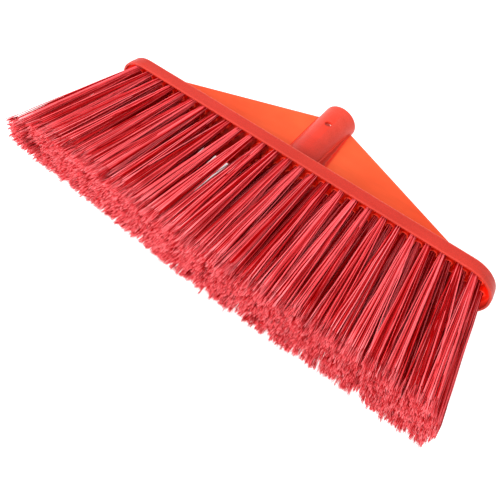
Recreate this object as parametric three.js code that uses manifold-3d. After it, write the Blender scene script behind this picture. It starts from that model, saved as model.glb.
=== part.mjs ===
// Head of an upright sweeping broom: a moulded block with a socket for a round handle, a thin
// web on each side of the socket, and five staggered rows of bristle tufts under the block.
// Units are millimetres. The head is drawn upright, with the block's lip at z = 0, the tufts
// below it and the socket above it, and is laid on its back at the end of the file.
import * as THREE from 'three';
import { mergeVertices } from 'three/addons/utils/BufferGeometryUtils.js';
import Module from 'manifold-3d';

const wasm = await Module();
wasm.setup();

// Block: a straight-sided outline with round ends. Its rim is upright as far as the top of the
// lip band and leans in above it, and a sloped deck closes it.
const STRAIGHT_HALF = 151;
const LIP_RADIUS = 26;
const LIP_BAND = 4;
const RIM_HEIGHT = 10.5;
const RIM_TOP_STRAIGHT = 150.4;
const RIM_TOP_RADIUS = 25.5;
const DECK_RADIUS = 17;
const DECK_TOP = 16;
const END_STEPS = 20;

// Recess in the underside, inside the lip.
const LIP_WALL = 1.8;
const RECESS_STEP = 7.5;
const RECESS_STEP_RADIUS = 23.2;
const RECESS_ROOF_RADIUS = 14.5;
const RECESS_ROOF = 13.2;

// Tufts: five rows run along x, every second row is set off by half a pitch, and the rows get
// longer towards the middle one, as the round ends leave room for them.
const TUFT_PITCH = 12;
const ROW_SPACING = 10;
const OUTER_ROW_REACH = 156;
const END_TUFT_X = 168;
const BOSS_RADIUS = 3.5;
const BOSS_END = 6.5;
const HOLE_RADIUS = 2.6;
const HOLE_TOP_INNER = 13.6;
const HOLE_TOP_OUTER = 10.6;
const OUTER_HOLE_DISTANCE = 15.5;
const TUFT_RADIUS = 2.25;
const TUFT_SIDES = 8;
const TIP_Z = -104;
const TIP_FAN = 1.14;
const END_TIP_X = 186;
const END_TIP_HALF_DEPTH = 9;
const TIP_HALF_THICKNESS = 3.2;
const TIP_HALF_DEPTH_LONG = 26;
const TIP_HALF_DEPTH_SHORT = 25;
const TIP_MERGE = 1.6;
const TIP_CHAMFER = 1.2;

// Socket and webs.
const SOCKET_BASE_RADIUS = 15;
const SOCKET_MOUTH_RADIUS = 15.3;
const SOCKET_MOUTH = 82.8;
const BORE_MOUTH_RADIUS = 12.5;
const BORE_END_RADIUS = 12;
const BORE_END = 22;
const SOCKET_SIDES = 40;
const SCREW_HOLE_RADIUS = 2.75;
const SCREW_HOLE_Z = 59.2;
const SCREW_HOLE_SIDES = 16;
const WEB_THICKNESS = 3;
const WEB_REACH = 165;
const WEB_TOP = 74.9;
const WEB_SLOPE = 0.38;

const GAP = 0.3;

const plastic = new THREE.MeshStandardMaterial({ color: 0xe84f3e, roughness: 0.42, metalness: 0 });
const webPlastic = new THREE.MeshStandardMaterial({ color: 0xfc6441, roughness: 0.42, metalness: 0 });
const bristle = new THREE.MeshStandardMaterial({ color: 0xd73237, roughness: 0.5, metalness: 0 });

function solidOf(geometry) {
  const bare = geometry.clone();
  bare.deleteAttribute('normal');
  bare.deleteAttribute('uv');
  const merged = mergeVertices(bare, 1e-4);
  const mesh = new wasm.Mesh({
    numProp: 3,
    vertProperties: new Float32Array(merged.attributes.position.array),
    triVerts: new Uint32Array(merged.index.array),
  });
  return new wasm.Manifold(mesh);
}

function meshOf(name, solid, material) {
  const { vertProperties, triVerts } = solid.getMesh();
  const geometry = new THREE.BufferGeometry();
  geometry.setAttribute('position', new THREE.BufferAttribute(vertProperties, 3));
  geometry.setIndex(new THREE.BufferAttribute(triVerts, 1));
  geometry.computeVertexNormals();
  const mesh = new THREE.Mesh(geometry, material);
  mesh.name = name;
  return mesh;
}

function joined(solids) {
  return solids.reduce((whole, next) => whole.add(next));
}

// Closed skin through a stack of rings, each a flat convex loop, lowest ring first.
function loft(rings) {
  const sides = rings[0].length;
  const faces = [];
  for (let level = 0; level + 1 < rings.length; level++) {
    for (let i = 0; i < sides; i++) {
      const low = level * sides + i;
      const lowNext = level * sides + ((i + 1) % sides);
      faces.push(low, lowNext, lowNext + sides, low, lowNext + sides, low + sides);
    }
  }
  const top = (rings.length - 1) * sides;
  const flat = rings[0].map((p) => new THREE.Vector2(p.x, p.y));
  for (const [a, b, c] of THREE.ShapeUtils.triangulateShape(flat, [])) {
    faces.push(a, c, b, top + a, top + b, top + c);
  }
  const geometry = new THREE.BufferGeometry().setFromPoints(rings.flat());
  geometry.setIndex(faces);
  return geometry;
}

// Outline of the block at one height: two straight sides joined by half circles.
function outline(straightHalf, radius, z) {
  const points = [];
  for (const [centre, start] of [[straightHalf, -Math.PI / 2], [-straightHalf, Math.PI / 2]]) {
    for (let i = 0; i <= END_STEPS; i++) {
      const angle = start + (Math.PI * i) / END_STEPS;
      points.push(
        new THREE.Vector3(centre + radius * Math.cos(angle), radius * Math.sin(angle), z));
    }
  }
  return points;
}

function uprightCylinder(radius, sides, x, y, low, high) {
  const geometry = new THREE.CylinderGeometry(radius, radius, high - low, sides);
  geometry.rotateX(Math.PI / 2);
  geometry.translate(x, y, (low + high) / 2);
  return geometry;
}

// Tufts of one line across the block: three from the rows at 0 and 20, or two from those at 10.
// Their tips share the depth of the tip plane, and overlap a little.
function column(x, rows, tipHalfDepth) {
  const halfDepth = (tipHalfDepth + ((rows.length - 1) * TIP_MERGE) / 2) / rows.length;
  const tipStep = 2 * halfDepth - TIP_MERGE;
  return rows.map((y, index) => {
    const tipY = (index - (rows.length - 1) / 2) * tipStep;
    return { x, y, tipX: x * TIP_FAN, tipY, halfDepth };
  });
}

// Ranks: one per column, but the last tuft of the middle row joins the column beside it.
function tuftRanks() {
  const made = [];
  const endColumn = END_TUFT_X - TUFT_PITCH / 2;
  for (let x = -endColumn; x <= endColumn; x += TUFT_PITCH / 2) {
    const long = (x / (TUFT_PITCH / 2)) % 2 === 0;
    const rows = long ? [-2, 0, 2] : [-1, 1];
    const tipHalfDepth = long ? TIP_HALF_DEPTH_LONG : TIP_HALF_DEPTH_SHORT;
    const rank = column(x, rows.map((row) => row * ROW_SPACING), tipHalfDepth);
    if (Math.abs(x) > OUTER_ROW_REACH) {
      const side = Math.sign(x);
      rank.push({
        x: side * END_TUFT_X, y: 0, tipX: side * END_TIP_X, tipY: 0, halfDepth: END_TIP_HALF_DEPTH,
      });
    }
    made.push(rank);
  }
  return made;
}

const ranks = tuftRanks();

// Holes near the edge of the deck are shallower, because the deck slopes down there.
function holeTop({ x, y }) {
  const distance = Math.hypot(Math.max(Math.abs(x) - RIM_TOP_STRAIGHT, 0), y);
  return distance > OUTER_HOLE_DISTANCE ? HOLE_TOP_OUTER : HOLE_TOP_INNER;
}

function headBlock() {
  const body = solidOf(loft([
    outline(STRAIGHT_HALF, LIP_RADIUS, 0),
    outline(STRAIGHT_HALF, LIP_RADIUS, LIP_BAND),
    outline(RIM_TOP_STRAIGHT, RIM_TOP_RADIUS, RIM_HEIGHT),
    outline(RIM_TOP_STRAIGHT, DECK_RADIUS, DECK_TOP),
  ]));
  const recess = solidOf(loft([
    outline(STRAIGHT_HALF, LIP_RADIUS - LIP_WALL, -1),
    outline(STRAIGHT_HALF, LIP_RADIUS - LIP_WALL, 0),
    outline(RIM_TOP_STRAIGHT, RECESS_STEP_RADIUS, RECESS_STEP),
    outline(RIM_TOP_STRAIGHT, RECESS_ROOF_RADIUS, RECESS_ROOF),
  ]));
  const bosses = [];
  const holes = [];
  for (const tuft of ranks.flat()) {
    const { x, y } = tuft;
    const boss = uprightCylinder(BOSS_RADIUS, TUFT_SIDES, x, y, BOSS_END, DECK_TOP);
    const hole = uprightCylinder(HOLE_RADIUS, TUFT_SIDES, x, y, -1, holeTop(tuft));
    bosses.push(solidOf(boss));
    holes.push(solidOf(hole));
  }
  return body.subtract(recess).add(joined(bosses).intersect(body)).subtract(joined(holes));
}

function handleSocket() {
  const profile = [
    [0, DECK_TOP + GAP],
    [SOCKET_BASE_RADIUS, DECK_TOP + GAP],
    [SOCKET_MOUTH_RADIUS, SOCKET_MOUTH],
    [BORE_MOUTH_RADIUS, SOCKET_MOUTH],
    [BORE_END_RADIUS, BORE_END],
    [0, BORE_END],
  ].map(([radius, z]) => new THREE.Vector2(radius, z));
  const tube = new THREE.LatheGeometry(profile, SOCKET_SIDES);
  tube.rotateX(Math.PI / 2);
  const length = SOCKET_MOUTH_RADIUS;
  const screwHole = new THREE.CylinderGeometry(
    SCREW_HOLE_RADIUS, SCREW_HOLE_RADIUS, length, SCREW_HOLE_SIDES);
  screwHole.translate(0, -length, SCREW_HOLE_Z);
  return solidOf(tube).subtract(solidOf(screwHole));
}

// One web, from the socket out to the end of the deck; side is 1 for +x and -1 for -x.
function web(side) {
  const foot = DECK_TOP + GAP;
  const inner = SOCKET_MOUTH_RADIUS + GAP;
  const outerTop = WEB_TOP - WEB_SLOPE * (WEB_REACH - inner);
  const shape = new THREE.Shape([
    new THREE.Vector2(inner, foot),
    new THREE.Vector2(WEB_REACH, foot),
    new THREE.Vector2(WEB_REACH, outerTop),
    new THREE.Vector2(inner, WEB_TOP),
  ]);
  const geometry = new THREE.ExtrudeGeometry(shape, { depth: WEB_THICKNESS, bevelEnabled: false });
  geometry.rotateX(Math.PI / 2);
  geometry.translate(0, WEB_THICKNESS / 2, 0);
  if (side < 0) geometry.rotateZ(Math.PI);
  return solidOf(geometry);
}

// Section of a tuft: round at the root, and a rectangle with cut corners at the tips.
function tuftSection(root, tip, share) {
  const centre = new THREE.Vector3().lerpVectors(root.centre, tip.centre, share);
  const points = [];
  for (let i = 0; i < TUFT_SIDES; i++) {
    const angle = ((i + 0.5) * 2 * Math.PI) / TUFT_SIDES;
    const cos = Math.cos(angle);
    const sin = Math.sin(angle);
    const wide = Math.abs(cos) > Math.abs(sin);
    const cornerX = Math.sign(cos) * (tip.halfThickness - (wide ? 0 : TIP_CHAMFER));
    const cornerY = Math.sign(sin) * (tip.halfDepth - (wide ? TIP_CHAMFER : 0));
    points.push(new THREE.Vector3(
      centre.x + THREE.MathUtils.lerp(TUFT_RADIUS * cos, cornerX, share),
      centre.y + THREE.MathUtils.lerp(TUFT_RADIUS * sin, cornerY, share),
      centre.z));
  }
  return points;
}

// The tufts of one rank, which meet only where they spread at the tips.
function bristleRank(tufts) {
  return joined(tufts.map((tuft) => {
    const root = { centre: new THREE.Vector3(tuft.x, tuft.y, BOSS_END) };
    const tip = {
      centre: new THREE.Vector3(tuft.tipX, tuft.tipY, TIP_Z),
      halfThickness: TIP_HALF_THICKNESS,
      halfDepth: tuft.halfDepth,
    };
    const anchored = tuftSection(root, tip, 0);
    anchored.forEach((p) => p.setZ(holeTop(tuft) - GAP));
    return solidOf(loft([tuftSection(root, tip, 1), tuftSection(root, tip, 0), anchored]));
  }));
}

const upright = new THREE.Group();
upright.add(meshOf('head_block', headBlock(), plastic));
upright.add(meshOf('handle_socket', handleSocket(), plastic));
upright.add(meshOf('web_left', web(-1), webPlastic));
upright.add(meshOf('web_right', web(1), webPlastic));
ranks.forEach((rank, index) => {
  const name = `bristle_rank_${String(index + 1).padStart(2, '0')}`;
  upright.add(meshOf(name, bristleRank(rank), bristle));
});

// Laid on its back: the socket points along +Y and the front of the block faces up. The origin
// is the middle of the floor rectangle that the head covers.
upright.rotation.x = -Math.PI / 2;
upright.position.set(0, -(TIP_Z + SOCKET_MOUTH) / 2, LIP_RADIUS);
const head = new THREE.Group();
head.add(upright);

export default head;
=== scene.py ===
"""Looks of the broom head: one continuous moulding, and tufts of separate filaments with flagged tips.

Shapes are drawn upright in millimetres: x runs along the block, z points up to the handle with the
block's lip at z = 0, and the front faces -y. lay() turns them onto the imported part, which lies on
its back, and into metres.
"""
import math

import bmesh
import bpy
import numpy as np
from mathutils import Matrix, Vector


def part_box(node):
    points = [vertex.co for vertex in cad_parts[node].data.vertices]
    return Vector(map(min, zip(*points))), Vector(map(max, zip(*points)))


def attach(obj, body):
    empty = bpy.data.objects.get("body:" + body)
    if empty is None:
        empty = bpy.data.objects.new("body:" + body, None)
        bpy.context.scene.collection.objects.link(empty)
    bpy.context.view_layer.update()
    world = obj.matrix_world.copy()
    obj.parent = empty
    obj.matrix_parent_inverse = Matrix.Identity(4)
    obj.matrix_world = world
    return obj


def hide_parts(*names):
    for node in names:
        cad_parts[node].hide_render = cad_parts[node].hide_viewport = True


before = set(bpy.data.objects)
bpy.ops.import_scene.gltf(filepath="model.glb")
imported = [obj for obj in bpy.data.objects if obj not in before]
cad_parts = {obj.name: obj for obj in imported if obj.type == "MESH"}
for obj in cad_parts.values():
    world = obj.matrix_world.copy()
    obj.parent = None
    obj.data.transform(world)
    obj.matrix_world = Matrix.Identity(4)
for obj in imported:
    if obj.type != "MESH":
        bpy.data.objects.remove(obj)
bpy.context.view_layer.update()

MM = 0.001
SEED = 7

# ---------------------------------------------------------------- sizes, mm
STRAIGHT_HALF, TOP_STRAIGHT_HALF = 151.0, 150.4
LIP_RADIUS, RIM_TOP_RADIUS, DECK_RADIUS = 26.0, 25.5, 17.0
LIP_BAND, RIM_HEIGHT, DECK_TOP = 4.0, 10.5, 16.0
LIP_INNER_RADIUS, RECESS_STEP_RADIUS, RECESS_ROOF_RADIUS = 24.2, 23.2, 14.5
RECESS_STEP, RECESS_ROOF = 7.5, 13.2
END_STEPS = 56

TUFT_PITCH, ROW_SPACING = 12.0, 10.0
RANKS = 55              # lines of tufts across the block, half a pitch apart
BOSS_RADIUS, BOSS_END, HOLE_RADIUS = 3.5, 6.5, 2.6
HOLE_TOP_INNER, HOLE_TOP_OUTER = 12.6, 10.2
BOSS_TOP_INNER, BOSS_TOP_OUTER = 14.4, 11.0
OUTER_HOLE_DISTANCE = 15.5

SOCKET_BASE, SOCKET_MOUTH = 15.0, 15.3
MOUTH_Z, BORE_END_Z = 82.8, 22.0
BORE_MOUTH, BORE_FOOT = 12.5, 12.0
SCREW_HOLE_RADIUS, SCREW_HOLE_Z = 2.75, 59.2

WEB_HALF, WEB_INNER, WEB_REACH = 1.5, 13.7, 165.0
WEB_TOP, WEB_TOP_X, WEB_SLOPE = 74.9, 15.6, 0.38
GUSSET_WIDTH, GUSSET_HEIGHT = 5.5, 52.0

TIP_Z, TIP_FAN = -104.0, 1.14
TIP_LEFT, TIP_RIGHT, TIP_EDGE_Y = 193.5, 188.7, 26.0
GROUND_Y = 25.6         # the back bristles rest on the ground here
TIP_DRIFT = 1.3         # all tips lean this far to the left
TIP_EDGE_TAPER = 0.24   # the footprint gets this much narrower per mm towards the front
TIP_SAG, TIP_SAG_WIDTH = 5.5, 80.0        # the worn tip line is longest in the middle
LEFT_END_SAG = 7.5      # the front and middle tufts of the left end reach this much further

block_low, block_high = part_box("head_block")
LIP_Y = block_low[1] / MM
AXIS_Z = (block_low[2] + block_high[2]) / 2 / MM


def lay(points):
    """Upright millimetres to the part's frame in metres."""
    p = np.asarray(points, dtype=float)
    return np.stack([p[..., 0], p[..., 2] + LIP_Y, AXIS_Z - p[..., 1]], axis=-1) * MM


# ---------------------------------------------------------------- mesh helpers
def mesh_object(name, points, faces):
    """A closed mesh object from upright points, with its faces turned outward."""
    bm = bmesh.new()
    verts = [bm.verts.new(p) for p in lay(points)]
    for face in faces:
        bm.faces.new([verts[i] for i in face])
    bmesh.ops.recalc_face_normals(bm, faces=bm.faces)
    mesh = bpy.data.meshes.new(name)
    bm.to_mesh(mesh)
    bm.free()
    obj = bpy.data.objects.new(name, mesh)
    bpy.context.collection.objects.link(obj)
    return obj


def loft(rings):
    """Points and faces of a closed skin through rings of equal length, capped at both ends."""
    n = len(rings[0])
    faces = [
        (k * n + i, k * n + (i + 1) % n, (k + 1) * n + (i + 1) % n, (k + 1) * n + i)
        for k in range(len(rings) - 1)
        for i in range(n)
    ]
    last = (len(rings) - 1) * n
    faces += [tuple(range(n)), tuple(range(last, last + n))]
    return np.concatenate(rings), faces


def rounded(corners, steps=5):
    """A polyline of (a, b, radius) corners with each corner turned into an arc."""
    out = [np.array(corners[0][:2])]
    for (pa, pb, _), (a, b, radius), (na, nb, _) in zip(corners, corners[1:], corners[2:]):
        p = np.array([a, b])
        if radius <= 0:
            out.append(p)
            continue
        back, ahead = np.array([pa, pb]) - p, np.array([na, nb]) - p
        back_length, ahead_length = np.linalg.norm(back), np.linalg.norm(ahead)
        back, ahead = back / back_length, ahead / ahead_length
        half = math.acos(float(np.clip(back @ ahead, -1, 1))) / 2
        cut = min(radius / math.tan(half), 0.49 * back_length, 0.49 * ahead_length)
        r = cut * math.tan(half)
        middle = back + ahead
        centre = p + middle / np.linalg.norm(middle) * (r / math.sin(half))
        start, end = p + back * cut - centre, p + ahead * cut - centre
        sweep = math.pi - 2 * half
        for t in np.linspace(0, 1, steps + 1):
            arm = (math.sin((1 - t) * sweep) * start + math.sin(t * sweep) * end) / math.sin(sweep)
            out.append(centre + arm)
    out.append(np.array(corners[-1][:2]))
    return np.array(out)


def stadium(half, radius, z):
    """Outline of the block at one height: two straight sides joined by half circles."""
    angle = np.linspace(-math.pi / 2, math.pi / 2, END_STEPS + 1)
    right = np.stack([half + radius * np.cos(angle), radius * np.sin(angle)], axis=-1)
    ring = np.concatenate([right, -right])
    return np.column_stack([ring, np.full(len(ring), z)])


def lathe(profile, sides, x=0.0, y=0.0):
    """Points and faces of a closed turned shape; the profile's ends sit close to its axis."""
    angle = np.arange(sides) * 2 * math.pi / sides
    rings = [
        np.column_stack([x + r * np.cos(angle), y + r * np.sin(angle), np.full(sides, z)])
        for r, z in profile
    ]
    return loft(rings)


def merged(parts):
    """Several (points, faces) shapes as one."""
    points, faces, start = [], [], 0
    for p, f in parts:
        points.append(p)
        faces += [tuple(i + start for i in face) for face in f]
        start += len(p)
    return np.concatenate(points), faces


def combine(target, other, operation):
    """Applies a boolean to target and removes the other object."""
    mod = target.modifiers.new("combine", "BOOLEAN")
    mod.operation, mod.object, mod.solver = operation, other, "MANIFOLD"
    bpy.context.view_layer.update()
    result = bpy.data.meshes.new_from_object(
        target.evaluated_get(bpy.context.evaluated_depsgraph_get()))
    target.modifiers.clear()
    old, target.data = target.data, result
    bpy.data.meshes.remove(old)
    bpy.data.objects.remove(other)


# ---------------------------------------------------------------- moulding
def tuft_sites():
    """(rank, x, y) of every tuft: rows of 27, 28, 29, 28 and 27, the ends of the middle row
    counted with the rank beside them."""
    sites = []
    for i in range(RANKS):
        step = i - RANKS // 2
        x = step * TUFT_PITCH / 2
        rows = (-2, 0, 2) if step % 2 == 0 else (-1, 1)
        sites += [(i, x, row * ROW_SPACING) for row in rows]
        if i in (0, RANKS - 1):
            sites.append((i, x + math.copysign(TUFT_PITCH / 2, x), 0.0))
    return sites


SITES = tuft_sites()


def half_at(z):
    """Straight half length of the block's outline at height z."""
    share = min(max((z - LIP_BAND) / (RIM_HEIGHT - LIP_BAND), 0), 1)
    return STRAIGHT_HALF + (TOP_STRAIGHT_HALF - STRAIGHT_HALF) * share


def block_shell():
    profile = rounded([
        (DECK_RADIUS - 4, DECK_TOP, 0),
        (DECK_RADIUS, DECK_TOP, 2.6),
        (RIM_TOP_RADIUS, RIM_HEIGHT, 0.8),
        (RIM_TOP_RADIUS + 0.08, RIM_HEIGHT - 1.2, 0),
        (LIP_RADIUS, LIP_BAND, 3.0),
        (LIP_RADIUS, 1.4, 0),
        (LIP_RADIUS, 0.0, 0.6),
        (LIP_INNER_RADIUS, 0.0, 0.5),
        (RECESS_STEP_RADIUS, RECESS_STEP, 2.0),
        (RECESS_ROOF_RADIUS, RECESS_ROOF, 3.0),
        (RECESS_ROOF_RADIUS - 3, RECESS_ROOF, 0),
    ])
    return loft([stadium(half_at(z), r, z) for r, z in profile])


def boss_shapes():
    """A boss with a blind hole for every tuft. Joining them to the block fills the holes above
    the roof of the recess, so those of the outer rows end up shallower than their profile."""
    shapes = []
    for _, x, y in SITES:
        outer = math.hypot(max(abs(x) - TOP_STRAIGHT_HALF, 0), y) > OUTER_HOLE_DISTANCE
        top = BOSS_TOP_OUTER if outer else BOSS_TOP_INNER
        hole_top = HOLE_TOP_OUTER if outer else HOLE_TOP_INNER
        profile = rounded([
            (0.4, hole_top, 0),
            (HOLE_RADIUS - 0.1, hole_top, 0),
            (HOLE_RADIUS, BOSS_END, 0.45),
            (BOSS_RADIUS, BOSS_END, 0.5),
            (BOSS_RADIUS + 0.02, BOSS_END + 1.0, 0),
            (BOSS_RADIUS + 0.12, top, 0),
            (0.4, top, 0),
        ], steps=3)
        shapes.append(lathe(profile, 20, x, y))
    return merged(shapes)


def socket_shape():
    flare = 1.8
    foot = rounded([
        (SOCKET_BASE + flare, DECK_TOP - 1.4, 0),
        (SOCKET_BASE + flare, DECK_TOP, 0),
        (SOCKET_BASE, DECK_TOP, flare),
        (SOCKET_MOUTH, MOUTH_Z, 1.0),
        (BORE_MOUTH, MOUTH_Z, 0.7),
        (BORE_FOOT, BORE_END_Z, 1.6),
        (1.0, BORE_END_Z, 0),
    ], steps=6)
    profile = np.concatenate([[(1.0, DECK_TOP - 1.4)], foot])
    return lathe(profile, 96)


def gusset_reach(z, x):
    """How far the fillet between a web and the socket reaches at height z. Only the right web has
    a wedge there."""
    wedge = GUSSET_WIDTH * np.clip(1 - (z - DECK_TOP) / GUSSET_HEIGHT, 0, 1)
    return 1.4 + wedge * (np.asarray(x) > 0)


def web_shape(side):
    """One web: a plate with a round top edge, and fillets where it meets deck and socket. Its
    columns are close together where the fillet along the socket curves."""
    deck_fillet, edge_round = 2.2, 1.3
    z_foot = DECK_TOP - 1.4
    columns = np.concatenate([
        [WEB_INNER, 14.6, 15.2, 15.5, 15.9, 16.4, 17.0, 17.8, 18.7, 19.7, 20.8, 22.0, 23.4],
        np.linspace(25.5, WEB_REACH, 38),
        [WEB_REACH + 1.3],
    ])
    rings = []
    for x in columns:
        top = WEB_TOP - WEB_SLOPE * (min(x, WEB_REACH) - WEB_TOP_X)
        top -= max(x - WEB_REACH, 0) * 2.2
        room = max(top - DECK_TOP, 0.2)
        fillet, cap = min(deck_fillet, 0.5 * room), min(edge_round, 0.4 * room)
        z = np.concatenate([
            [z_foot],
            DECK_TOP + fillet * np.array([0, 0.12, 0.28, 0.48, 0.72, 1.0]),
            np.linspace(DECK_TOP + fillet, top - cap, 18)[1:-1],
            top - cap * (1 - np.sin(np.linspace(0, math.pi / 2, 6)[:-1])),
        ])
        low = np.clip(1 - (z - DECK_TOP) / fillet, 0, 1)
        tube_fillet = gusset_reach(z, side)
        near = np.clip(1 - (x - SOCKET_MOUTH) / tube_fillet, 0, 1)
        crest = np.clip(1 - (top - z) / cap, 0, 1)
        half = WEB_HALF * np.sqrt(1 - crest**2)
        half = half + fillet * (1 - np.sqrt(1 - low**2))
        half = half + tube_fillet * (1 - np.sqrt(1 - near**2)) * np.sqrt(1 - crest**2)
        front = np.column_stack([np.full(len(z), x), -half, z])
        back = np.column_stack([np.full(len(z), x), half, z])[::-1]
        rings.append(np.concatenate([front, [[x, 0.0, top]], back]))
    points, faces = loft(rings)
    return points * np.array([side, 1, 1]), faces


def screw_cutter():
    """Cuts the screw hole through the front wall, with a rounded edge that follows the tube."""
    sides, edge = 40, 0.7
    angle = np.arange(sides) * 2 * math.pi / sides
    rings = []
    depths = [(-1.0, edge + 0.25)] + [
        (edge * d, edge * (1 - math.sqrt(1 - (1 - d) ** 2))) for d in (0, 0.1, 0.25, 0.5, 0.75, 1)
    ] + [(5.0, 0.0)]
    for depth, flare in depths:
        r = SCREW_HOLE_RADIUS + flare
        u = r * np.cos(angle)
        y = -np.sqrt(SOCKET_MOUTH**2 - u**2) + depth
        rings.append(np.column_stack([u, y, SCREW_HOLE_Z + r * np.sin(angle)]))
    return loft(rings)


moulding = mesh_object("head_moulding", *block_shell())
combine(moulding, mesh_object("bosses", *boss_shapes()), "UNION")
combine(moulding, mesh_object("tube", *socket_shape()), "UNION")
for web_side in (-1, 1):
    combine(moulding, mesh_object("web", *web_shape(web_side)), "UNION")
combine(moulding, mesh_object("cutter", *screw_cutter()), "DIFFERENCE")


def finish_moulding(obj):
    """Smooth shading with crisp creases, and mesh attributes that mark where the material paints light
    and shade: the webs, socket, recess, boss rims and the wedge by the socket, and the edges with
    scuffs and a painted highlight.
    """
    mesh = obj.data
    mesh.name = obj.name
    mesh.shade_smooth()
    mesh.set_sharp_from_angle(angle=math.radians(32))
    co = np.empty(len(mesh.vertices) * 3)
    mesh.vertices.foreach_get("co", co)
    p = co.reshape(-1, 3) / MM
    x, y, z = p[:, 0], AXIS_Z - p[:, 2], p[:, 1] - LIP_Y
    radius = np.hypot(np.maximum(np.abs(x) - STRAIGHT_HALF, 0), y)
    # Where the webs are painted lighter and more orange: painted light, for light that comes through
    # them.
    web = (z > DECK_TOP + 0.6) & (np.abs(y) < 2.3) & (np.hypot(x, y) > SOCKET_MOUTH + 0.4)
    # Where the recess is painted a brighter red and glows: painted light in the shaded recess.
    recess = (z > 0.5) & (z < RECESS_ROOF + 0.3) & (radius < LIP_INNER_RADIUS + 0.1)
    # Thin lines along the lip, the rim's top, the mouth and the webs' crests: scuffs and a painted
    # highlight.
    lip = 0.2 * np.exp(-((z / 0.7) ** 2)) * (radius > 23)
    rim = np.exp(-(((z - RIM_HEIGHT) / 0.5) ** 2)) * (radius > 24.2)
    mouth = np.exp(-(((z - MOUTH_Z) / 0.9) ** 2))
    # The boss rims, painted a lighter red and glowing: painted highlight.
    boss = recess * np.exp(-(((z - BOSS_END) / 0.5) ** 2)) * (radius < RECESS_STEP_RADIUS)
    # The socket, painted a lighter copy of the body's red that fades back at its foot: painted light
    # and painted shade.
    tube = np.clip((z - DECK_TOP) / 12, 0, 1) * (np.hypot(x, y) < SOCKET_MOUTH + 0.3)
    top_line = WEB_TOP - WEB_SLOPE * (np.abs(x) - WEB_TOP_X)
    crest = web * np.exp(-(((z - top_line) / 0.8) ** 2))
    # Painted shade: a deep red wedge on the web beside the socket's foot, widest on the right.
    gusset_painted_shade = web * np.clip(3.4 - 3 * (np.abs(x) - SOCKET_MOUTH) / gusset_reach(z, x), 0, 1)
    for name, values in (
        ("thin", web.astype(float)),
        ("gusset_painted_shade", gusset_painted_shade),
        ("recess", recess.astype(float)),
        ("tube", tube),
        ("boss", boss),
        ("edge_scuffs_and_highlight", np.clip(lip + rim + mouth + crest, 0, 1)),
    ):
        mesh.attributes.new(name, "FLOAT", "POINT").data.foreach_set(
            "value", values.astype(np.float32))


finish_moulding(moulding)


# ---------------------------------------------------------------- filaments
def tubes(paths, radii, sides):
    """Points, loop indices and face lengths of closed tubes along (count, steps, 3) paths."""
    count, steps, _ = paths.shape
    angle = np.arange(sides) * 2 * math.pi / sides
    ring = np.stack([np.cos(angle), np.sin(angle), np.zeros(sides)], axis=-1)
    points = paths[:, :, None, :] + radii[:, :, None, None] * ring
    index = np.arange(count * steps * sides).reshape(count, steps, sides)
    low, high = index[:, :-1], index[:, 1:]
    quads = np.stack([low, high, np.roll(high, -1, axis=2), np.roll(low, -1, axis=2)], axis=-1)
    caps = np.concatenate([index[:, 0], index[:, -1, ::-1]])
    loops = np.concatenate([quads.reshape(-1), caps.reshape(-1)])
    totals = np.concatenate([
        np.full(quads.size // 4, 4), np.full(len(caps), sides)]).astype(np.int32)
    return points.reshape(-1, 3), loops, totals


def filament_mesh(name, parts, tone):
    """One mesh object from several tubes() results, with a tone at each point."""
    points = np.concatenate([p for p, _, _ in parts])
    offsets = np.cumsum([0] + [len(p) for p, _, _ in parts[:-1]])
    loops = np.concatenate([l + o for (_, l, _), o in zip(parts, offsets)]).astype(np.int32)
    totals = np.concatenate([t for _, _, t in parts])
    mesh = bpy.data.meshes.new(name)
    mesh.vertices.add(len(points))
    mesh.vertices.foreach_set("co", lay(points).astype(np.float32).ravel())
    mesh.loops.add(len(loops))
    mesh.loops.foreach_set("vertex_index", loops)
    mesh.polygons.add(len(totals))
    starts = np.concatenate([[0], np.cumsum(totals)[:-1]]).astype(np.int32)
    mesh.polygons.foreach_set("loop_start", starts)
    mesh.polygons.foreach_set("loop_total", totals)
    mesh.update(calc_edges=True)
    mesh.shade_smooth()
    mesh.attributes.new("tone", "FLOAT", "POINT").data.foreach_set(
        "value", tone.astype(np.float32))
    obj = bpy.data.objects.new(name, mesh)
    bpy.context.collection.objects.link(obj)
    return obj


FILAMENTS = 44          # filament ends in one tuft
FILAMENT_RADIUS, SHAFT_SIDES = 0.36, 5
HOLD_RADIUS = 2.05      # the hole holds the roots inside this radius
# Filaments start this far above the boss rims. The holes of the outer rows are shallower, so many
# start in the plastic there, out of sight.
HOLD_DEPTH = 3.0
SHAFT_STEPS = np.array([0.0, 0.05, 0.14, 0.27, 0.42, 0.58, 0.74, 0.88, 1.0])

STRANDS = 13            # the filaments of a tuft lean together in this many strands
STRAND_REACH = np.array([7.8, 6.6])       # strands end inside this ellipse
STRAND_PULL = 0.7       # how much of the way a filament is drawn to its strand
STRAND_MIXING = 7.0     # higher values let filaments join strands further away
ROOT_GROWTH = 3.4       # how much wider than its roots a tuft would be without strands
STRAY_SHARE, STRAY_REACH = 0.08, 3.5      # filaments that leave their strand
LONG_SHARE, LONG_REACH = 0.12, 1.6        # filaments that stand out past the tip line

FIBRES = 4              # fibres that each flagged end parts into
FIBRE_RADIUS, FIBRE_SIDES = 0.23, 3
FLAG_SHORTEST, FLAG_LONGEST = 7.0, 12.5
FIBRE_STEPS = np.array([-0.12, 0.1, 0.45, 0.75, 1.0])
FIBRE_FAN, FIBRE_CURL = 0.07, 0.035 / 6   # sideways per mm, and per mm squared

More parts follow.
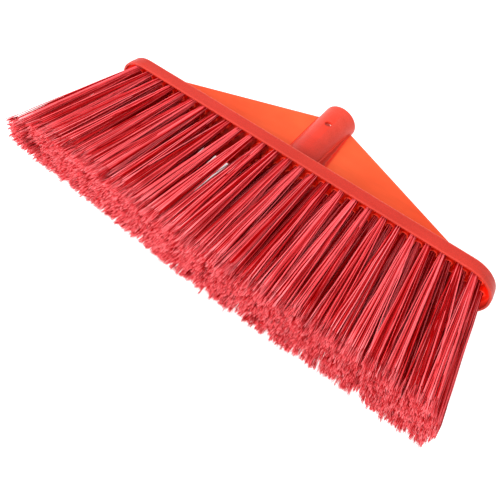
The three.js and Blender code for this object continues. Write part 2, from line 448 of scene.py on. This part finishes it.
CENTRE_FAN_Y = 1.07
CENTRE_JITTER = [1.9, 1.2]
CENTRE_EDGE_X = 176.0   # beyond this the tufts lean out less than the fan asks
LEFT_GIVE, RIGHT_GIVE = 0.8, 0.5          # share of the excess that is let through there
EDGE_GIVE = 0.3         # the same at the edge of the tips' footprint
BACK_FAN = 0.0016       # extra fan per mm towards the back
FRONT_OPENING, BACK_OPENING = 0.8, 0.6    # the tufts behind open sooner than the front ones
BACK_SPLAY = 3.5        # rows behind lean to the right and to the left in turn
WAVE = 0.16             # filaments are this far from straight

GOLDEN_ANGLE = 2.39996
FULL_TURN = 6.28


def soften(value, limit, give):
    """Keeps a value inside +-limit, letting a share of the excess through."""
    over = np.maximum(np.abs(value) - limit, 0)
    return np.sign(value) * (np.minimum(np.abs(value), limit) + over * give)


def inside_tips(points, margin):
    """Tip positions held inside the footprint that all tips together fill."""
    y = np.minimum(soften(points[..., 1], TIP_EDGE_Y - margin, EDGE_GIVE), GROUND_Y)
    ends = np.where(points[..., 0] < 0, TIP_LEFT, TIP_RIGHT)
    edge = ends - margin - TIP_EDGE_TAPER * np.maximum(-y, 0)
    return np.stack([soften(points[..., 0], edge, EDGE_GIVE), y], axis=-1)


def in_disc(turns):
    """Points spread evenly in a disc of radius 1, one at each turn."""
    reach = np.sqrt((np.arange(len(turns)) + 0.5) / len(turns))
    return reach[:, None] * np.stack([np.cos(turns), np.sin(turns)], axis=-1)


def tuft_roots(rng):
    """Where the filaments leave the hole, from the middle of the tuft."""
    turns = np.arange(FILAMENTS) * GOLDEN_ANGLE + rng.uniform(0, FULL_TURN)
    roots = HOLD_RADIUS * in_disc(turns)
    return roots + rng.normal(0, 0.08, roots.shape)


def tuft_centre(rng, x, y):
    """Where the middle of the tuft rooted at x, y ends up at the tips."""
    behind = max(y, 0)
    fan = TIP_FAN + BACK_FAN * behind
    limit = CENTRE_EDGE_X + BACK_FAN * STRAIGHT_HALF * behind
    give = LEFT_GIVE if x < 0 else RIGHT_GIVE
    centre = np.array([soften(x * fan, limit, give), y * CENTRE_FAN_Y])
    centre += rng.normal(0, CENTRE_JITTER) - [TIP_DRIFT, 0]
    if y > -ROW_SPACING / 2:
        centre[0] += BACK_SPLAY * math.cos(math.pi * y / ROW_SPACING)
    return centre


def tip_spread(rng, roots):
    """Each filament's tip from the middle of the tips, its strand, and whether it strays."""
    turns = rng.uniform(0, FULL_TURN) + np.arange(STRANDS) * GOLDEN_ANGLE
    turns += rng.normal(0, 0.25, STRANDS)
    strands = STRAND_REACH * in_disc(turns)
    grown = roots * ROOT_GROWTH
    gap = ((grown[:, None] - strands[None]) ** 2).sum(-1)
    gap += rng.uniform(0, STRAND_MIXING, gap.shape)
    strand = gap.argmin(1)
    spread = grown + (strands[strand] - grown) * STRAND_PULL + rng.normal(0, 1.1, roots.shape)
    stray = rng.random(FILAMENTS) < STRAY_SHARE
    spread += stray[:, None] * rng.normal(0, STRAY_REACH, roots.shape)
    return spread, strand, stray


def tip_heights(rng, x, y):
    """Heights of the filaments' tips in the tuft rooted at x, y."""
    at_left_end = x < -STRAIGHT_HALF and y < ROW_SPACING / 2
    line = TIP_Z - LEFT_END_SAG * at_left_end - TIP_SAG * math.exp(-(x / TIP_SAG_WIDTH) ** 2)
    heights = line + rng.normal(0, 0.7, FILAMENTS)
    extra = LONG_REACH * np.abs(rng.normal(0, 1, FILAMENTS))
    return heights - extra * (rng.random(FILAMENTS) < LONG_SHARE)


def shaft_paths(rng, x, y, roots, centre, tips, tip_z, end_z, stray):
    """Paths of the filaments, from inside the hole to where the flagging starts at end_z."""
    whole = (BOSS_END - end_z) / (BOSS_END - tip_z)
    along = (SHAFT_STEPS * whole[:, None])[..., None]
    lean = (centre - [x, y]) * along
    onset = BACK_OPENING if y > -ROW_SPACING / 2 else FRONT_OPENING
    opening = (tips - centre - roots)[:, None] * along ** onset
    start = np.array([x, y]) + roots
    lane = start[:, None] + lean + opening
    phase = rng.uniform(0, FULL_TURN, (FILAMENTS, 1, 2))
    wave = WAVE * np.sin(phase + along * rng.uniform(9, 17, (FILAMENTS, 1, 2)))
    lane += wave * np.minimum(along * 6, 1) * (1 + 1.5 * stray[:, None, None])
    z = BOSS_END + (end_z[:, None] - BOSS_END) * SHAFT_STEPS
    shafts = np.concatenate([lane, z[..., None]], axis=-1)
    held = np.column_stack([start, np.full(FILAMENTS, BOSS_END + HOLD_DEPTH)])
    return np.concatenate([held[:, None], shafts], axis=1)


def fibre_paths(rng, shafts, flag):
    """Paths of the fibres that leave the end of each shaft and part over the length of flag."""
    shape = (FILAMENTS, FIBRES)
    heading = shafts[:, -1] - shafts[:, -2]
    heading = heading / -heading[:, 2:3]
    fan = rng.normal(0, FIBRE_FAN, (*shape, 1, 2))
    length = flag[:, None] * rng.uniform(0.8, 1.0, shape)
    down = (length[..., None] * FIBRE_STEPS)[..., None]
    curl = rng.normal(0, FIBRE_CURL, (*shape, 1, 2)) * down ** 2
    side = (heading[:, None, None, :2] + fan) * down + curl
    offset = rng.uniform(-0.1, 0.1, (*shape, 1, 2))
    xy = inside_tips(shafts[:, None, -1:, :2] + side + offset, 0.0)
    z = shafts[:, None, -1:, 2:] - down
    return np.concatenate([xy, z], axis=-1).reshape(FILAMENTS * FIBRES, -1, 3)


def tuft(rng, x, y):
    """Shaft paths, fibre paths and their tones for one tuft rooted at x, y."""
    roots = tuft_roots(rng)
    centre = tuft_centre(rng, x, y)
    spread, strand, stray = tip_spread(rng, roots)
    tips = inside_tips(centre + spread, 0.7)
    tip_z = tip_heights(rng, x, y)
    flag = rng.uniform(FLAG_SHORTEST, FLAG_LONGEST, FILAMENTS)
    shafts = shaft_paths(rng, x, y, roots, centre, tips, tip_z, tip_z + flag, stray)
    fibres = fibre_paths(rng, shafts, flag)
    tone = 0.14 * rng.random(STRANDS)[strand] + 0.86 * rng.beta(0.38, 0.38, FILAMENTS)
    own_tone = rng.beta(0.4, 0.4, FILAMENTS * FIBRES)
    return shafts, fibres, tone, 0.4 * np.repeat(tone, FIBRES) + 0.6 * own_tone


def rank_object(index):
    """All filaments of the tufts in one line across the block."""
    rng = np.random.default_rng(SEED + index)
    tufts = [tuft(rng, x, y) for rank, x, y in SITES if rank == index]
    shafts, fibres, tones, fibre_tones = map(np.concatenate, zip(*tufts))
    shaft_radius = np.full(shafts.shape[:2], FILAMENT_RADIUS)
    shaft_radius[:, -1] = FILAMENT_RADIUS * 0.75
    fibre_radius = np.full(fibres.shape[:2], FIBRE_RADIUS)
    fibre_radius[:, 0] *= 0.7
    fibre_radius[:, -1] *= 0.55
    parts = [tubes(shafts, shaft_radius, SHAFT_SIDES), tubes(fibres, fibre_radius, FIBRE_SIDES)]
    tone = np.concatenate([
        np.repeat(tones, shafts.shape[1] * SHAFT_SIDES),
        np.repeat(fibre_tones, fibres.shape[1] * FIBRE_SIDES)])
    return filament_mesh(f"bristles_{index + 1:02d}", parts, tone)


# ---------------------------------------------------------------- materials
class Nodes:
    """Short calls for building one node material."""

    def __init__(self, name):
        self.mat = bpy.data.materials.new(name)
        self.mat.use_nodes = True
        self.tree = self.mat.node_tree
        self.shader = self.tree.nodes["Principled BSDF"]
        self.place = self.node("ShaderNodeTexCoord").outputs["Object"]

    def node(self, kind, **settings):
        made = self.tree.nodes.new(kind)
        for key, value in settings.items():
            setattr(made, key, value)
        return made

    def put(self, socket, value):
        if isinstance(value, bpy.types.NodeSocket):
            self.tree.links.new(value, socket)
        else:
            socket.default_value = value

    def attribute(self, name):
        return self.node("ShaderNodeAttribute", attribute_name=name).outputs["Fac"]

    def mapping(self, scale):
        made = self.node("ShaderNodeMapping")
        self.put(made.inputs["Vector"], self.place)
        made.inputs["Scale"].default_value = scale
        return made.outputs["Vector"]

    def noise(self, scale, detail=2.0, roughness=0.5):
        made = self.node("ShaderNodeTexNoise")
        self.put(made.inputs["Vector"], self.mapping(scale))
        made.inputs["Scale"].default_value = 1.0
        made.inputs["Detail"].default_value = detail
        made.inputs["Roughness"].default_value = roughness
        return made.outputs["Fac"]

    def math(self, operation, a, b=0.0, clamp=False):
        made = self.node("ShaderNodeMath", operation=operation, use_clamp=clamp)
        self.put(made.inputs[0], a)
        self.put(made.inputs[1], b)
        return made.outputs[0]

    def spread(self, value, low, high, to_low, to_high):
        made = self.node("ShaderNodeMapRange")
        for socket, v in zip(made.inputs, (value, low, high, to_low, to_high)):
            self.put(socket, v)
        return made.outputs["Result"]

    def mix(self, factor, a, b, blend="MIX"):
        made = self.node("ShaderNodeMix", data_type="RGBA", blend_type=blend)
        self.put(made.inputs["Factor"], factor)
        self.put(made.inputs[6], a)
        self.put(made.inputs[7], b)
        return made.outputs[2]

    def grey(self, value):
        """A grey of the given brightness, for multiplying a colour."""
        made = self.node("ShaderNodeCombineColor")
        for socket in made.inputs:
            self.put(socket, value)
        return made.outputs[0]

    def bump(self, height, strength, distance, normal=None):
        made = self.node("ShaderNodeBump")
        made.inputs["Strength"].default_value = strength
        made.inputs["Distance"].default_value = distance
        self.put(made.inputs["Height"], height)
        if normal is not None:
            self.put(made.inputs["Normal"], normal)
        return made.outputs["Normal"]


def rgb(r, g, b):
    return (r, g, b, 1.0)


END_GLOW = 0.17         # light that comes through the thin end walls into the recess
BOSS_GLOW = 0.20        # and through the thin rims of the bosses


def moulded_plastic():
    m = Nodes("moulded_plastic")
    thin, recess, edge_scuffs_and_highlight = m.attribute("thin"), m.attribute("recess"), m.attribute("edge_scuffs_and_highlight")
    cloud = m.noise((28, 28, 28), 3.0)
    flow = m.noise((18, 90, 160), 4.0, 0.6)
    cloud = m.spread(cloud, 0.3, 0.7, 0, 1)
    body = m.mix(cloud, rgb(0.49, 0.026, 0.015), rgb(0.53, 0.031, 0.019))
    # Painted light: the socket is a lighter copy of the body's red.
    tube = m.mix(cloud, rgb(0.68, 0.038, 0.018), rgb(0.74, 0.048, 0.024))
    # Painted light: the thin webs are a lighter, more orange copy of the body's red, for light that
    # comes through them.
    web = m.mix(cloud, rgb(0.80, 0.085, 0.020), rgb(0.84, 0.105, 0.028))
    mottle = m.noise((1100, 1100, 1100), 2.0, 0.6)
    body = m.mix(1.0, body, m.grey(m.spread(mottle, 0.3, 0.7, 0.86, 1.14)), "MULTIPLY")
    along = m.node("ShaderNodeSeparateXYZ")
    m.put(along.inputs[0], m.place)
    from_middle = m.math("ABSOLUTE", along.outputs["X"])
    # Towards the block's ends the webs lose some of that painted light and turn redder.
    outward = m.spread(from_middle, 0.05, 0.16, 0, 0.75)
    web = m.mix(outward, web, rgb(0.86, 0.055, 0.012))
    # The socket's lighter copy fades to the body's red over its foot: painted shade.
    colour = m.mix(m.attribute("tube"), body, tube)
    colour = m.mix(thin, colour, web)
    # Painted shade: a deeper, darker red on the web beside the socket's foot.
    colour = m.mix(m.attribute("gusset_painted_shade"), colour, rgb(0.78, 0.018, 0.003))
    # Painted light: the shaded recess is painted a brighter red than the body.
    colour = m.mix(m.math("MULTIPLY", recess, 0.9), colour, rgb(0.98, 0.020, 0.004))
    # Painted highlight: the rims of the bosses are painted a lighter red.
    colour = m.mix(m.math("MULTIPLY", m.attribute("boss"), 0.9), colour, rgb(1.0, 0.06, 0.03))
    streak = m.spread(flow, 0.35, 0.65, 0.95, 1.05)
    colour = m.mix(1.0, colour, m.grey(streak), "MULTIPLY")
    # Paler edges along the rim's top, the lip, the socket's mouth and the webs' crests: partly scuffs,
    # partly a painted highlight.
    scuff = m.noise((900, 900, 900), 3.0, 0.7)
    scuffs_and_highlight = m.math("MULTIPLY", edge_scuffs_and_highlight, m.spread(scuff, 0.38, 0.62, 0.25, 0.9), clamp=True)
    colour = m.mix(m.math("MULTIPLY", scuffs_and_highlight, 0.6), colour, rgb(1.0, 0.22, 0.15))
    m.put(m.shader.inputs["Base Color"], colour)
    m.put(m.shader.inputs["Emission Color"], colour)
    end_glow = m.spread(from_middle, 0.160, 0.172, 0, END_GLOW)
    boss_glow = m.math("MULTIPLY", m.attribute("boss"), BOSS_GLOW)
    glow = m.math("ADD", m.math("MULTIPLY", recess, end_glow), boss_glow)
    m.put(m.shader.inputs["Emission Strength"], glow)
    grain = m.noise((1500, 1500, 1500), 2.0)
    satin = m.spread(grain, 0.3, 0.7, 0.38, 0.48)
    m.put(m.shader.inputs["Roughness"],
          m.math("ADD", satin, m.math("MULTIPLY", scuffs_and_highlight, 0.14), clamp=True))
    soft = m.noise((60, 60, 60), 2.0)
    normal = m.bump(soft, 0.25, 0.0006)
    normal = m.bump(grain, 0.10, 0.0001, normal)
    m.put(m.shader.inputs["Normal"], normal)
    m.shader.inputs["Specular IOR Level"].default_value = 0.2
    m.shader.inputs["Subsurface Weight"].default_value = 0.12
    m.shader.inputs["Subsurface Radius"].default_value = (1.0, 0.25, 0.15)
    m.shader.inputs["Subsurface Scale"].default_value = 0.002
    m.shader.inputs["IOR"].default_value = 1.49
    return m.mat


def bristle_plastic():
    m = Nodes("bristle_plastic")
    tone = m.attribute("tone")
    split = m.node("ShaderNodeSeparateXYZ")
    m.put(split.inputs[0], m.place)
    tip_y = LIP_Y * MM + TIP_Z * MM
    near_tip = m.spread(split.outputs["Y"], tip_y + 0.020, tip_y + 0.003, 0, 1)
    # Painted highlight: the filaments with the highest tone are painted a paler pink, in place of
    # glints.
    glint = m.math("POWER", tone, 2.2)
    shade = m.mix(tone, rgb(0.30, 0.0, 0.0), rgb(0.84, 0.001, 0.006))
    shade = m.mix(glint, shade, rgb(1.0, 0.17, 0.19))
    streak = m.noise((1200, 60, 1200), 3.0, 0.6)
    colour = m.mix(1.0, shade, m.grey(m.spread(streak, 0.3, 0.7, 0.86, 1.14)), "MULTIPLY")
    # Painted light: the flagged tips are painted paler and pinker, with a pinker painted highlight,
    # for light through and off the fine fibres.
    ragged = m.math("ADD", near_tip, m.spread(streak, 0.3, 0.7, -0.15, 0.15), clamp=True)
    pale = m.mix(tone, rgb(0.40, 0.0, 0.0), rgb(0.98, 0.04, 0.06))
    pale = m.mix(glint, pale, rgb(1.0, 0.32, 0.34))
    colour = m.mix(m.math("MULTIPLY", ragged, 0.85), colour, pale)
    m.put(m.shader.inputs["Base Color"], colour)
    m.put(m.shader.inputs["Roughness"], m.spread(streak, 0.3, 0.7, 0.34, 0.50))
    m.put(m.shader.inputs["Normal"], m.bump(streak, 0.15, 0.00005))
    m.shader.inputs["Specular IOR Level"].default_value = 0.02
    m.shader.inputs["IOR"].default_value = 1.49
    return m.mat


moulding.data.materials.clear()
moulding.data.materials.append(moulded_plastic())
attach(moulding, "root")
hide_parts("head_block", "handle_socket", "web_left", "web_right")

bristle_material = bristle_plastic()
for rank_index in range(RANKS):
    rank = rank_object(rank_index)
    rank.data.materials.append(bristle_material)
    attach(rank, "root")
    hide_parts(f"bristle_rank_{rank_index + 1:02d}")


# ---------------------------------------------------------------- floor, light and camera
def floor():
    half = 3.0
    mesh = bpy.data.meshes.new("floor")
    mesh.from_pydata([(-half, -half, 0), (half, -half, 0), (half, half, 0), (-half, half, 0)],
                     [], [(0, 1, 2, 3)])
    obj = bpy.data.objects.new("floor", mesh)
    bpy.context.collection.objects.link(obj)
    m = Nodes("floor_paint")
    speck = m.noise((40, 40, 40), 4.0)
    m.put(m.shader.inputs["Base Color"],
          m.mix(speck, rgb(0.58, 0.58, 0.58), rgb(0.62, 0.62, 0.62)))
    m.shader.inputs["Roughness"].default_value = 0.8
    m.shader.inputs["Specular IOR Level"].default_value = 0.1
    m.shader.inputs["Emission Color"].default_value = rgb(1, 1, 1)
    m.shader.inputs["Emission Strength"].default_value = 0.7
    mesh.materials.append(m.mat)
    return obj


def area_light(name, place, aim, size, power):
    data = bpy.data.lights.new(name, "AREA")
    data.shape, data.size, data.energy = "DISK", size, power
    obj = bpy.data.objects.new(name, data)
    obj.location = place
    obj.rotation_euler = (Vector(aim) - Vector(place)).to_track_quat("-Z", "Y").to_euler()
    bpy.context.collection.objects.link(obj)


floor()
area_light("key", (-0.9, 0.0, 1.0), (0, 0, 0), 0.25, 6)
area_light("fill", (-0.1, -1.1, 0.75), (0, -0.05, 0), 0.8, 15.5)

world = bpy.data.worlds.new("studio")
world.use_nodes = True
world.node_tree.nodes["Background"].inputs[0].default_value = (1, 1, 1, 1)
world.node_tree.nodes["Background"].inputs[1].default_value = 0.88
bpy.context.scene.world = world
bpy.context.scene.view_settings.view_transform = "Standard"

CAMERA_PLACE = Vector((0.12947, -0.22932, 0.35310))
CAMERA_AIM = Vector((0.02039, -0.05944, 0.02600))
CAMERA_ROLL = math.radians(6.18)
FOCAL_SHARE = 1.06      # focal length over the width of the frame

camera = bpy.data.objects.new("camera", bpy.data.cameras.new("camera"))
camera.data.sensor_width = 36.0
camera.data.lens = 36.0 * FOCAL_SHARE
camera.data.clip_start = 0.01
turn = (CAMERA_AIM - CAMERA_PLACE).to_track_quat("-Z", "Y").to_matrix()
camera.matrix_world = (
    Matrix.Translation(CAMERA_PLACE) @ (turn @ Matrix.Rotation(CAMERA_ROLL, 3, "Z")).to_4x4())
bpy.context.collection.objects.link(camera)
bpy.context.scene.camera = camera
